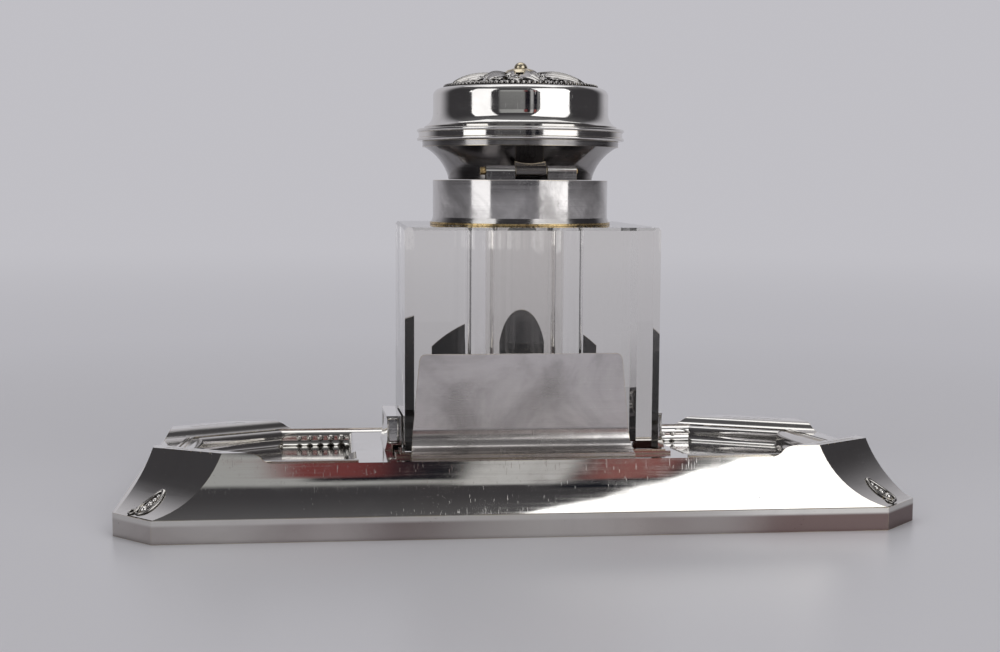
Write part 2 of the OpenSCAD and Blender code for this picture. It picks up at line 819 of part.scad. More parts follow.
// Embossed top: a dome with leaves round it and a roped border
module lid_top() color("silver") translate([glass_x, glass_y, dome_z]) difference() {
    union() {
        intersection() {
            translate([0, 0, -dome_r]) sphere(dome_r);
            translate([0, 0, -dome_rise]) cylinder(r = top_r, h = dome_rise + 1);
        }
        translate([0, 0, -dome_rise + rope_r]) rotate_extrude()
            translate([top_r - rope_r, 0]) circle(rope_r);
        for (i = [0 : leaves - 1]) rotate([0, 0, i * 360 / leaves])
            leaf_lobe();
    }
    translate([0, 0, -dome_r - top_t]) sphere(dome_r);
    translate([0, 0, -dome_rise - 10]) cylinder(r = BIG, h = 10);
}

// One leaf of the relief: a low swelling on the dome
module leaf_lobe() {
    reach = top_r * leaf_place;
    ground = sqrt(dome_r * dome_r - reach * reach) - dome_r;
    translate([reach, 0, ground + leaf_rise - leaf_r]) sphere(leaf_r);
}

// Finial: an open flower with a button
module lid_finial() color("goldenrod") translate([glass_x, glass_y, dome_z + seat]) rotate_extrude() {
    polygon([[0, 0], [flower_d / 2 - flower_lip, 0], [flower_d / 2, finial_h * 0.3],
             [flower_d / 2 - 1.2, finial_h * 0.5], [button_d / 2, finial_h * 0.62],
             [0, finial_h * 0.62]]);
    intersection() {
        translate([0, finial_h - button_d / 2]) circle(button_d / 2);
        square([BIG, finial_h]);
    }
}

base_shell();
closing_panel();
felt_sheet();
screw_bosses();
panel_screws();
glass_well();
glass_bed();
rear_plate();
front_plate();
left_bracket();
right_bracket();
glass_block();
collar_washer();
collar_cement();
collar();
hinge_lower_leaf();
hinge_pin();
hinge_upper_leaf();
lid_neck();
lid_lining();
lid_band();
lid_drum();
lid_top();
lid_finial();
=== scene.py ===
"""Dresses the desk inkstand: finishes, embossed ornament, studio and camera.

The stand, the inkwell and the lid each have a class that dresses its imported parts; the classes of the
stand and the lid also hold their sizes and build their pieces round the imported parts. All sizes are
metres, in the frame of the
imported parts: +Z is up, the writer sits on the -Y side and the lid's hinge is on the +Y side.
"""

import logging
import math
from dataclasses import dataclass, field
from enum import Enum
from typing import Callable, Sequence

import bmesh
import bpy
from mathutils import Matrix, Quaternion, Vector


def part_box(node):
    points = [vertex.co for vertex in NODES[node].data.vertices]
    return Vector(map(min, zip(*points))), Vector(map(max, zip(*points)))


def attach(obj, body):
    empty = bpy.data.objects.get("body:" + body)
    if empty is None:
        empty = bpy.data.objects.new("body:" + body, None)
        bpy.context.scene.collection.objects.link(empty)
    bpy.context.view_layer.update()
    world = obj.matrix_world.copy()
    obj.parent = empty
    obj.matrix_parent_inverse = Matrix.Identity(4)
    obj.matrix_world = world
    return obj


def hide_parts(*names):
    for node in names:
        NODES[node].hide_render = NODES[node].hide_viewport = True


LOG = logging.getLogger("inkstand")
MM = 0.001
WELD = 1e-7
SPUN = (8.0, 8.0, 2600.0)
FOOT_FADE = 0.9 * MM
# Numbers of a Mix node's colour sockets, because its other kinds share their names
COLOUR_INPUTS = (6, 7)
COLOUR_OUTPUT = 2
Colour = tuple[float, float, float]
Node = bpy.types.Node
Socket = bpy.types.NodeSocket


class Slot(Enum):
    """Material slots of the record; no piece in this script takes them."""

    SILVER = "silver_plate"
    DARK = "tarnished_silver"


# Node trees


class Tree:
    """Adds and joins the nodes of one node tree.

    Args:
        tree: The node tree, which is emptied first.
    """

    def __init__(self, tree: bpy.types.NodeTree) -> None:
        """Empties the tree."""
        self.tree = tree
        tree.nodes.clear()

    def node(self, kind: str, **settings: object) -> Node:
        """Adds a node and sets its properties.

        Args:
            kind: Type of the node.
            settings: Properties to set.

        Returns:
            The new node.
        """
        made = self.tree.nodes.new(kind)
        for key, value in settings.items():
            setattr(made, key, value)
        return made

    def link(self, source: Socket, target: Socket) -> None:
        """Joins two sockets."""
        self.tree.links.new(source, target)

    def feed(self, target: Socket, value: Socket | float | Sequence[float]) -> None:
        """Links a socket or sets a plain value.

        Args:
            target: Socket to feed.
            value: Socket that feeds it, or its plain value.
        """
        if isinstance(value, bpy.types.NodeSocket):
            self.link(value, target)
        else:
            target.default_value = value

    def ramp(self, factor: Socket, low: float, high: float,
             out: tuple[float, float] = (0.0, 1.0)) -> Socket:
        """Smooth step of a factor between two levels.

        Args:
            factor: Value to remap.
            low: Level that gives the first output.
            high: Level that gives the second output.
            out: The two outputs.

        Returns:
            The remapped value.
        """
        made = self.node("ShaderNodeMapRange", interpolation_type="SMOOTHSTEP")
        self.link(factor, made.inputs["Value"])
        levels = {"From Min": low, "From Max": high, "To Min": out[0], "To Max": out[1]}
        for key, value in levels.items():
            made.inputs[key].default_value = value
        return made.outputs["Result"]

    def math(self, operation: str, first: Socket | float, second: Socket | float = 0.0) -> Socket:
        """Math node of two values.

        Args:
            operation: What it works out.
            first: First value.
            second: Second value, where the operation takes one.

        Returns:
            The result.
        """
        made = self.node("ShaderNodeMath", operation=operation)
        self.feed(made.inputs[0], first)
        self.feed(made.inputs[1], second)
        return made.outputs[0]

    def mix(self, factor: Socket | float, first: Socket | Colour, second: Socket | Colour) -> Socket:
        """Mix of two colours.

        Args:
            factor: Share of the second colour.
            first: Colour at zero.
            second: Colour at one.

        Returns:
            The mixed colour.
        """
        made = self.node("ShaderNodeMix", data_type="RGBA")
        self.feed(made.inputs["Factor"], factor)
        for key, value in zip(COLOUR_INPUTS, (first, second)):
            linked = isinstance(value, bpy.types.NodeSocket)
            self.feed(made.inputs[key], value if linked else (*value, 1.0))
        return made.outputs[COLOUR_OUTPUT]


class Graph(Tree):
    """Builds one material.

    Args:
        name: Name of the material.
    """

    def __init__(self, name: str) -> None:
        """Starts the material with an output node and object coordinates."""
        self.material = bpy.data.materials.new(name)
        self.material.use_nodes = True
        super().__init__(self.material.node_tree)
        self.output = self.node("ShaderNodeOutputMaterial")
        self.place = self.node("ShaderNodeTexCoord").outputs["Object"]

    def height(self) -> Socket:
        """Height above the table, in metres."""
        split = self.node("ShaderNodeSeparateXYZ")
        self.link(self.place, split.inputs[0])
        return split.outputs["Z"]

    def stretched(self, scale: Sequence[float]) -> Socket:
        """Object coordinates with each axis scaled.

        Args:
            scale: Factors along X, Y and Z.

        Returns:
            The scaled coordinates.
        """
        mapping = self.node("ShaderNodeMapping")
        mapping.inputs["Scale"].default_value = tuple(scale)
        self.link(self.place, mapping.inputs["Vector"])
        return mapping.outputs["Vector"]

    def noise(self, scale: float, detail: float = 3.0, rough: float = 0.5,
              where: Socket | None = None, distortion: float = 0.0) -> Socket:
        """Noise texture.

        Args:
            scale: Features per metre.
            detail: Octaves.
            rough: Share of the finer octaves.
            where: Coordinates, or none for plain object coordinates.
            distortion: Twist of the pattern.

        Returns:
            The noise factor.
        """
        made = self.node("ShaderNodeTexNoise")
        self.link(where or self.place, made.inputs["Vector"])
        made.inputs["Scale"].default_value = scale
        made.inputs["Detail"].default_value = detail
        made.inputs["Roughness"].default_value = rough
        made.inputs["Distortion"].default_value = distortion
        return made.outputs["Fac"]

    def crevice(self, reach: float) -> Socket:
        """How closed in a point is.

        Args:
            reach: Distance to look over.

        Returns:
            0 in the open, up to 1 in a deep recess.
        """
        made = self.node("ShaderNodeAmbientOcclusion", samples=8)
        made.inputs["Distance"].default_value = reach
        return self.math("SUBTRACT", 1.0, made.outputs["AO"])

    def edge(self, radius: float) -> Socket:
        """How near a point lies to a sharp edge, from the turn of a rounded normal.

        Args:
            radius: Distance to look over.

        Returns:
            0 on a flat face, and more towards an edge.
        """
        rounded = self.node("ShaderNodeBevel", samples=6)
        rounded.inputs["Radius"].default_value = radius
        flat = self.node("ShaderNodeNewGeometry")
        dot = self.node("ShaderNodeVectorMath", operation="DOT_PRODUCT")
        self.link(rounded.outputs["Normal"], dot.inputs[0])
        self.link(flat.outputs["Normal"], dot.inputs[1])
        return self.math("SUBTRACT", 1.0, dot.outputs["Value"])

    def bump(self, height: Socket, strength: float, distance: float,
             under: Socket | None = None) -> Socket:
        """Bump from a height.

        Args:
            height: Height pattern.
            strength: Share of the full relief.
            distance: Relief in metres.
            under: Normal that this bump adds to.

        Returns:
            The bumped normal.
        """
        made = self.node("ShaderNodeBump")
        made.inputs["Strength"].default_value = strength
        made.inputs["Distance"].default_value = distance
        self.link(height, made.inputs["Height"])
        if under is not None:
            self.link(under, made.inputs["Normal"])
        return made.outputs["Normal"]

    def principled(self, **values: Socket | float | Sequence[float]) -> Node:
        """Principled shader joined to the output.

        Args:
            values: Socket names, with underscores for spaces, and what feeds them.

        Returns:
            The shader node.
        """
        made = self.node("ShaderNodeBsdfPrincipled")
        for key, value in values.items():
            self.feed(made.inputs[key.replace("_", " ")], value)
        self.link(made.outputs[0], self.output.inputs["Surface"])
        return made


# Finishes


@dataclass(frozen=True)
class PlateFinish:
    """Old silver plate: polished, brushed, pitted, dark in its recesses and warm at its edges."""

    name: str
    bright: Colour = (0.80, 0.785, 0.765)
    warm: Colour = (0.70, 0.60, 0.42)
    tarnish: Colour = (0.055, 0.050, 0.048)
    gloss: tuple[float, float] = (0.035, 0.085)
    recess: float = 0.0022
    recess_level: tuple[float, float] = (0.30, 0.75)
    cloud: float = 0.10
    brushing: tuple[float, float, float] = (25.0, 25.0, 2400.0)
    pits: float = 1.0
    wear_radius: float = 0.00035
    # Height below which the colour turns darker; 0 leaves it off.
    foot_dark_height: float = 0.0
    foot_colour: Colour = (0.11, 0.048, 0.045)

    def make(self) -> bpy.types.Material:
        """Builds the material.

        Returns:
            The finished plate material.
        """
        g = Graph(self.name)
        clouds = g.ramp(g.noise(38.0, 5.0, 0.62, distortion=0.6), 0.42, 0.72, (0.0, self.cloud))
        recess = g.ramp(g.crevice(self.recess), *self.recess_level)
        speckle = g.ramp(g.noise(2600.0, 2.0), 0.70, 0.78)
        spread = g.ramp(g.noise(60.0), 0.52, 0.66, (0.0, 0.8 * self.pits))
        stain = g.math("MULTIPLY", speckle, spread)
        dark = g.math("MAXIMUM", g.math("MAXIMUM", recess, clouds), stain)
        worn = g.ramp(g.edge(self.wear_radius), 0.02, 0.16)
        patchy = g.math("MULTIPLY", worn, g.ramp(g.noise(90.0, 3.0), 0.36, 0.60, (0.35, 1.0)))
        base = g.mix(g.ramp(g.noise(21.0, 3.0), 0.35, 0.75, (0.0, 0.35)), self.bright,
                     (self.bright[0] * 0.97, self.bright[1] * 0.93, self.bright[2] * 0.86))
        coated = g.mix(dark, base, self.tarnish)
        # Darker, reddish blotches towards the bottom of the part, below that height.
        if self.foot_dark_height > 0.0:
            blotch = g.ramp(g.noise(9.0, 2.0), 0.40, 0.60, (0.15, 0.85))
            low = g.ramp(g.height(), self.foot_dark_height, self.foot_dark_height - FOOT_FADE)
            coated = g.mix(g.math("MULTIPLY", low, blotch), coated, self.foot_colour)
        colour = g.mix(patchy, coated, self.warm)
        brush = g.noise(1.0, 3.0, 0.6, g.stretched(self.brushing))
        smear = g.noise(130.0, 4.0, 0.6)
        rough = g.math("ADD", g.ramp(brush, 0.3, 0.75, self.gloss),
                       g.ramp(smear, 0.45, 0.8, (0.0, 0.06)))
        rough = g.math("ADD", rough, g.math("MULTIPLY", dark, 0.25))
        normal = g.bump(brush, 0.03, 0.000008)
        normal = g.bump(g.noise(38.0, 1.0), 0.10, 0.0012, normal)
        scratch = g.ramp(g.noise(1.0, 1.0, 0.4, g.stretched((9000.0, 700.0, 260.0))), 0.72, 0.80)
        normal = g.bump(scratch, 0.12, 0.00003, normal)
        normal = g.bump(g.math("MULTIPLY", stain, -1.0), 0.4, 0.00006, normal)
        g.principled(Base_Color=colour, Metallic=1.0, Roughness=rough, Normal=normal)
        return g.material


@dataclass(frozen=True)
class BrassFinish:
    """Aged brass or gilt, dull in places."""

    name: str
    bright: Colour = (0.74, 0.55, 0.27)
    dull: Colour = (0.20, 0.14, 0.07)

    def make(self) -> bpy.types.Material:
        """Builds the material.

        Returns:
            The finished brass material.
        """
        g = Graph(self.name)
        patches = g.ramp(g.noise(520.0, 4.0, 0.6), 0.42, 0.68)
        dark = g.math("MAXIMUM", patches, g.ramp(g.crevice(0.0015), 0.25, 0.7))
        colour = g.mix(g.math("MULTIPLY", dark, 0.8), self.bright, self.dull)
        rough = g.ramp(g.noise(900.0), 0.3, 0.7, (0.16, 0.38))
        normal = g.bump(g.noise(1500.0, 2.0), 0.15, 0.00005)
        g.principled(Base_Color=colour, Metallic=1.0, Roughness=rough, Normal=normal)
        return g.material


@dataclass(frozen=True)
class GlassFinish:
    """Clear cut glass, faintly grey, with hair scratches."""

    name: str
    tint: Colour = (0.86, 0.845, 0.825)
    index: float = 1.52

    def make(self) -> bpy.types.Material:
        """Builds the material.

        Returns:
            The finished glass material.
        """
        g = Graph(self.name)
        smear = g.ramp(g.noise(45.0, 4.0, 0.6), 0.5, 0.8, (0.0, 0.035))
        scratch = g.ramp(g.noise(1.0, 1.0, 0.4, g.stretched((5000.0, 420.0, 160.0))), 0.75, 0.82)
        normal = g.bump(scratch, 0.05, 0.00002)
        colour = g.mix(g.ramp(g.noise(24.0), 0.4, 0.7), self.tint,
                       (self.tint[0] * 0.985, self.tint[1] * 0.98, self.tint[2] * 0.97))
        g.principled(Base_Color=colour, Metallic=0.0, Roughness=smear, IOR=self.index,
                     Transmission_Weight=1.0, Normal=normal)
        return g.material


@dataclass(frozen=True)
class DullFinish:
    """Matt material with mottling and grain: sheet, cement, leather or felt."""

    name: str
    light: Colour
    dark: Colour
    grain: float
    roughness: float = 0.8
    metallic: float = 0.0
    relief: float = 0.0001
    sheen: float = 0.0

    def make(self) -> bpy.types.Material:
        """Builds the material.

        Returns:
            The finished matt material.
        """
        g = Graph(self.name)
        mottle = g.ramp(g.noise(70.0, 5.0, 0.6), 0.35, 0.7)
        grain = g.noise(self.grain, 3.0, 0.6)
        patches = g.math("MULTIPLY", mottle, g.ramp(grain, 0.3, 0.7, (0.5, 1.0)))
        colour = g.mix(patches, self.light, self.dark)
        rough = g.ramp(grain, 0.3, 0.7, (self.roughness - 0.08, self.roughness + 0.06))
        g.principled(Base_Color=colour, Metallic=self.metallic, Roughness=rough,
                     Normal=g.bump(grain, 0.5, self.relief), Sheen_Weight=self.sheen)
        return g.material


class Finishes:
    """All materials of the object, made once."""

    def __init__(self) -> None:
        """Builds every finish."""
        self.plate = PlateFinish("stand_plate", foot_dark_height=0.0052).make()
        self.guard_plate = PlateFinish("guard_plate", bright=(0.72, 0.69, 0.685), cloud=0.42, pits=1.6,
                                       gloss=(0.10, 0.20), brushing=(12.0, 2600.0, 2600.0)).make()
        self.lid_plate = PlateFinish("lid_plate", bright=(0.76, 0.745, 0.73), gloss=(0.03, 0.08),
                                     brushing=SPUN, cloud=0.22).make()
        # Darkened copy of the lid's plate for the neck: painted shade and painted dark reflection on
        # its downward-facing cone.
        self.neck_painted_shade_plate = PlateFinish("neck_painted_shade_plate", bright=(0.36, 0.35, 0.35), gloss=(0.08, 0.16),
                                      brushing=SPUN, cloud=0.5).make()
        self.collar_plate = PlateFinish("collar_plate", bright=(0.56, 0.545, 0.54), gloss=(0.05, 0.12),
                                        brushing=SPUN, cloud=0.5).make()
        # Darker copy of the plate for the embossed work, with stronger darkening in its hollows: partly
        # tarnish, partly painted shade.
        self.relief = PlateFinish("relief_tarnish_and_painted_shade", bright=(0.62, 0.60, 0.58), recess=0.0020,
                                  recess_level=(0.10, 0.42), cloud=0.45, gloss=(0.08, 0.2),
                                  wear_radius=0.0003).make()
        # Near-black copy of the plate: painted shade in the tile grooves and on the hinge's upper leaf.
        self.dark = PlateFinish("painted_shade_plate", bright=(0.16, 0.15, 0.145), cloud=0.8,
                                gloss=(0.16, 0.32)).make()
        self.brass = BrassFinish("aged_brass").make()
        self.gilt = BrassFinish("worn_gilt", bright=(0.66, 0.58, 0.43), dull=(0.16, 0.13, 0.09)).make()
        self.glass = GlassFinish("cut_glass").make()
        self.tinned = DullFinish("tinned_sheet", (0.52, 0.52, 0.51), (0.30, 0.29, 0.28), 900.0,
                                 roughness=0.42, metallic=1.0, relief=0.00004).make()
        self.steel = DullFinish("screw_steel", (0.45, 0.45, 0.46), (0.22, 0.21, 0.20), 1500.0,
                                roughness=0.36, metallic=1.0, relief=0.00003).make()
        self.cement = DullFinish("mouth_cement", (0.74, 0.71, 0.65), (0.52, 0.48, 0.42), 1400.0).make()
        self.leather = DullFinish("bed_leather", (0.17, 0.09, 0.05), (0.07, 0.035, 0.02), 1100.0,
                                  roughness=0.6).make()
        self.felt = DullFinish("base_felt", (0.045, 0.12, 0.075), (0.02, 0.07, 0.04), 3200.0,
                               roughness=0.92, relief=0.0003, sheen=0.4).make()


# Mesh helpers


def finish_piece(name: str, bm: bmesh.types.BMesh, body: str,
                 material: bpy.types.Material, smooth: bool = True) -> bpy.types.Object:
    """Makes an object of a bmesh, dresses it and lets it ride on a body.

    Args:
        name: Name of the piece.
        bm: Mesh to take; it is freed.
        body: Body that the piece rides on.
        material: Finish of the piece.
        smooth: Whether its faces are shaded smooth.

    Returns:
        The new object.
    """
    bmesh.ops.remove_doubles(bm, verts=bm.verts, dist=WELD)
    bmesh.ops.recalc_face_normals(bm, faces=bm.faces)
    mesh = bpy.data.meshes.new(name)
    bm.to_mesh(mesh)
    bm.free()
    if smooth:
        mesh.shade_smooth()
    mesh.materials.append(material)
    piece = bpy.data.objects.new(name, mesh)
    bpy.context.scene.collection.objects.link(piece)
    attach(piece, body)
    LOG.info("%s: %d faces on %s", name, len(mesh.polygons), body)
    return piece


def shares(steps: int) -> list[float]:
    """Even shares from 0 to 1, both included."""
    return [step / steps for step in range(steps + 1)]


def add_tube(bm: bmesh.types.BMesh, path: Sequence[Vector], radii: Sequence[float],
             sides: int = 8) -> None:
    """Draws a closed-ended tube along a path by extruding a ring of edges.

    Args:
        bm: Mesh to add to.
        path: Points of the path.
        radii: Radius at each point.
        sides: Corners of the ring.
    """
    heading = (path[1] - path[0]).normalized()
    turn = Vector((0, 0, 1)).rotation_difference(heading)
    made = bmesh.ops.create_circle(bm, cap_ends=True, segments=sides, radius=1.0)
    ring = list(made["verts"])
    local = [turn @ v.co.copy() for v in ring]
    for vert, spoke in zip(ring, local):
        vert.co = path[0] + spoke * radii[0]
    edges = [e for e in bm.edges if e.verts[0] in ring and e.verts[1] in ring]
    count = len(path)
    for index in range(1, count):
        before = path[index - 1]
        after = path[min(index + 1, count - 1)]
        bend = heading.rotation_difference((after - before).normalized())
        heading = (after - before).normalized()
        local = [bend @ spoke for spoke in local]
        grown = bmesh.ops.extrude_edge_only(bm, edges=edges)["geom"]
        fresh = [item for item in grown if isinstance(item, bmesh.types.BMVert)]
        edges = [item for item in grown if isinstance(item, bmesh.types.BMEdge)
                 and item.verts[0] in fresh and item.verts[1] in fresh]
        order = match_ring(ring, fresh)
        for vert, spoke in zip(order, local):
            vert.co = path[index] + spoke * radii[index]
        ring = order
    bmesh.ops.contextual_create(bm, geom=edges)


def match_ring(ring: Sequence[bmesh.types.BMVert],
               fresh: Sequence[bmesh.types.BMVert]) -> list[bmesh.types.BMVert]:
    """Sorts the vertices of an extruded ring in the order of the ring that they came from.

    Args:
        ring: The earlier ring.
        fresh: The extruded vertices.

    Returns:
        The extruded vertices in order.
    """
    remaining = set(fresh)
    order = []
    for vert in ring:
        for edge in vert.link_edges:
            other = edge.other_vert(vert)
            if other in remaining:
                order.append(other)
                remaining.discard(other)
                break
    return order


def add_bead(bm: bmesh.types.BMesh, place: Vector, sizes: Vector,
             turn: Quaternion = Quaternion(), detail: int = 10) -> None:
    """Adds a rounded bead.

    Args:
        bm: Mesh to add to.
        place: Its centre.
        sizes: Half sizes along its own axes.
        turn: Its rotation.
        detail: Segments round it.
    """
    matrix = Matrix.Translation(place) @ turn.to_matrix().to_4x4() @ Matrix.Diagonal((*sizes, 1.0))
    bmesh.ops.create_uvsphere(bm, u_segments=detail, v_segments=detail // 2 + 1, radius=1.0,
                              matrix=matrix)


def add_sheet(bm: bmesh.types.BMesh, across: int, along: int,
              surface: Callable[[float, float], Vector],
              below: Callable[[float, float], Vector]) -> None:
    """Adds a closed slab whose top and underside follow two surfaces.

    Args:
        bm: Mesh to add to.
        across: Cells over the width, where u runs from -1 to 1.
        along: Cells over the length, where t runs from 0 to 1.
        surface: Place of the top at (t, u).
        below: Place of the underside at (t, u).
    """
    top = set(bmesh.ops.create_grid(bm, x_segments=along, y_segments=across, size=1.0)["verts"])
    faces = [face for face in bm.faces if face.verts[0] in top]
    grown = bmesh.ops.extrude_face_region(bm, geom=faces, use_keep_orig=True)["geom"]
    upper = [item for item in grown if isinstance(item, bmesh.types.BMVert)]
    for verts, shape in ((top, below), (upper, surface)):
        for vert in verts:
            vert.co = shape((vert.co.x + 1) / 2, vert.co.y)


# Sub-assemblies


@dataclass
class Stand:
    """The plated stand with its trays, pads, plates and brackets."""

    finishes: Finishes
    body: str = "stand"
    rim_height: float = 15.0 * MM
    tilt: float = math.radians(4.7)
    tray_back: float = 48.1 * MM
    tray_front: float = 50.6 * MM
    tray_deep: float = 4.8 * MM
    roll: float = 4.4 * MM
    crease: float = 0.15 * MM
    land_half: float = 44.0 * MM
    spiral_at: float = 73.0 * MM
    spiral_turns: float = 1.6
    spiral_radius: float = 3.1 * MM
    whip_reach: float = 13.0 * MM
    whip_depth: tuple[float, float] = (0.55, 0.33)
    tail_reach: float = 8.0 * MM
    tail_depth: tuple[float, float] = (0.86, 0.55)
    scroll_lift: float = 0.05 * MM
    beads_from: float = 48.5 * MM
    bead_pitch: float = 3.4 * MM
    tray_beads: int = 5
    line_radius: float = 0.42 * MM
    ribs: int = 9
    rib_pitch: float = 1.9 * MM
    rib_from: float = 26.0 * MM
    rib_slant: float = 2.2 * MM
    facet_low: tuple[float, float] = (109.367 * MM, 6.2 * MM)
    facet_high: tuple[float, float] = (93.667 * MM, 21.895 * MM)
    facet_sag: float = 2.5 * MM
    corner_skew: tuple[float, float] = (48.7 * MM, 3.3 * MM)
    shell_from: float = 1.0 * MM
    shell_long: float = 9.0 * MM
    shell_half: float = 2.5 * MM
    shell_ribs: int = 5
    curl_turns: float = 1.3
    curl_radius: float = 1.5 * MM
    bracket_end: float = 22.0 * MM
    bracket_in: float = 35.3 * MM
    bracket_top: float = 4.2 * MM
    bracket_long: float = 44.0 * MM
    frame_levels: tuple[float, float] = (2.2 * MM, 8.9 * MM)
    frame_margins: tuple[float, float] = (0.9 * MM, 0.5 * MM)
    frame_radius: float = 0.32 * MM
    glass_x: float = -3.6 * MM
    pad_from: float = 89.167 * MM
    pad_width: float = 4.5 * MM
    pad_rise: float = 2.9 * MM
    tile_pitch: float = 3.7 * MM
    tile_columns: int = 5
    tile_run: float = 21.5 * MM
    groove: float = 0.34 * MM
    groove_deep: float = 0.3 * MM

    def dress(self) -> None:
        """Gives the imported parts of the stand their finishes."""
        f = self.finishes
        looks = {"base_shell": f.plate, "glass_well": f.plate, "rear_plate": f.guard_plate,
                 "front_plate": f.guard_plate, "left_bracket": f.plate, "right_bracket": f.plate,
                 "closing_panel": f.tinned, "screw_bosses": f.tinned, "panel_screws": f.steel,
                 "glass_bed": f.leather, "felt_sheet": f.felt}
        dress_nodes(looks)

    def on_top(self, x: float, y: float, up: float) -> Vector:
        """Place on the sloping top.

        Args:
            x: Left to right.
            y: Front to back along the slope.
            up: Height above the rim plane.

        Returns:
            The place in the object's frame.
        """
        turned = Matrix.Rotation(self.tilt, 3, "X") @ Vector((x, y, up))
        return turned + Vector((0, 0, self.rim_height))

    def rolled(self, t: float) -> tuple[float, float]:
        """Point of the curved tray wall.

        Args:
            t: 0 at the rim and 1 at the tray's floor.

        Returns:
            Distance in from the rim's edge, and height above the rim plane.
        """
        width = self.roll
        height = self.tray_deep + 2 * self.crease
        radius = (width * width + height * height) / (4 * height)
        full = 2 * math.asin(math.hypot(width, height) / 4 / radius)
        if t < 0.5:
            angle = full * t * 2
            return radius * math.sin(angle), self.crease - radius * (1 - math.cos(angle))
        angle = full * (1 - t) * 2
        return width - radius * math.sin(angle), self.crease - height + radius * (1 - math.cos(angle))

    def on_wall(self, side: int, end: int, x: float, t: float, proud: float) -> Vector:
        """Place on the front or back tray wall.

        Args:
            side: -1 for the left tray, 1 for the right tray.
            end: -1 for the front wall, 1 for the back wall.
            x: Distance from the middle of the base.
            t: 0 at the rim and 1 at the tray's floor.
            proud: Height above the wall's surface, roughly along its normal.

        Returns:
            The place in the object's frame.
        """
        inward, up = self.rolled(t)
        edge = self.tray_front if end < 0 else self.tray_back
        return self.on_top(side * x, end * (edge - inward - proud * 0.6), up + proud * 0.75)

    def scroll_path(self) -> list[tuple[float, float]]:
        """Centre line of the scroll on a tray wall, as (distance from the middle, t).

        Returns:
            Points from the corner, through the whiplash, into the spiral's eye.
        """
        points = []
        middle, swing = self.whip_depth
        for share in shares(24):
            x = self.spiral_at + (1 - share) * self.whip_reach
            wave = middle - swing * math.sin(share * math.pi * 1.15)
            points.append((x, wave + max(0.0, share - 0.62)))
        for share in shares(44)[1:]:
            angle = math.pi / 2 + share * self.spiral_turns * 2 * math.pi
            radius = self.spiral_radius * (1 - 0.78 * share)
            x = self.spiral_at + radius * math.cos(angle) * 1.1
            points.append((x, 0.50 + 0.145 * radius / MM * math.sin(angle)))
        return points

    def build_scrolls(self) -> None:
        """Embossed scrolls and beads on the front and back walls of both trays."""
        bm = bmesh.new()
        for side in (-1, 1):
            for end in (-1, 1):
                self.add_scroll(bm, side, end)
        finish_piece("tray_scrolls", bm, self.body, self.finishes.relief)

    def add_scroll(self, bm: bmesh.types.BMesh, side: int, end: int) -> None:
        """Adds the ornament of one tray wall.

        Args:
            bm: Mesh to add to.
            side: -1 for the left tray, 1 for the right tray.
            end: -1 for the front wall, 1 for the back wall.
        """
        path = [self.on_wall(side, end, x, t, self.scroll_lift) for x, t in self.scroll_path()]
        count = len(path)
        radii = [self.line_radius * (0.5 + 0.7 * math.sin(math.pi * (0.08 + 0.8 * i / count)))
                 for i in range(count)]
        add_tube(bm, path, radii)
        add_bead(bm, self.on_wall(side, end, self.spiral_at, 0.5, 2 * self.scroll_lift),
                 Vector((0.9, 0.9, 0.7)) * MM)
        tail = []
        start, drop = self.tail_depth
        for share in shares(18):
            x = self.spiral_at - 2.0 * MM - share * self.tail_reach
            depth = start - drop * math.sin(share * math.pi * 0.6)
            tail.append(self.on_wall(side, end, x, depth, self.scroll_lift))
        add_tube(bm, tail, [self.line_radius * (1.15 - 0.7 * share) for share in shares(18)])
        for index in range(self.tray_beads):
            x = self.beads_from + index * self.bead_pitch
            size = 1.25 - 0.07 * index
            add_bead(bm, self.on_wall(side, end, x, 0.5, 0.0),
                     Vector((size * 1.05, size, size * 0.85)) * MM, detail=14)

    def build_ribs(self) -> None:
        """Short ridges down the walls of the land beside the brackets."""
        bm = bmesh.new()
        for side in (-1, 1):
            for index in range(self.ribs):
                y = self.rib_from + index * self.rib_pitch
                path = []
                for share in shares(8):
                    t = 0.08 + 0.84 * share
                    outward, up = self.rolled(t)
                    path.append(self.on_top(side * (self.land_half + outward),
                                            y - self.rib_slant * t, up))
                swell = [math.sin(math.pi * (0.15 + 0.7 * share)) for share in shares(8)]
                add_tube(bm, path, [self.line_radius * size for size in swell], 6)
        finish_piece("land_ribs", bm, self.body, self.finishes.relief)

    def on_facet(self, corner: int, along: float, aside: float, proud: float) -> Vector:
        """Place on the hollow face of a corner.

        Args:
            corner: Number of the corner, from +X +Y onwards.
            along: Distance up the face's chord.
            aside: Distance from the face's middle.
            proud: Height above the hollow face.

        Returns:
            The place in the object's frame.
        """
        low, high = Vector(self.facet_low), Vector(self.facet_high)
        chord = (high - low).length
        rise = (high - low) / chord
        out = Vector((rise.y, -rise.x))
        bow = (chord ** 2 / 4 + self.facet_sag ** 2) / (2 * self.facet_sag)
        hollow = math.sqrt(bow ** 2 - (along - chord / 2) ** 2) - bow + self.facet_sag
        flat = low + rise * along + out * (proud - hollow)
        skew = (self.corner_skew[0] - self.corner_skew[1] * along / chord) / math.sqrt(2)
        side = (-skew if corner % 2 == 0 else skew) + aside
        turn = Matrix.Rotation(math.radians(45 + 90 * corner), 3, "Z")
        return turn @ Vector((flat.x, side, flat.y))

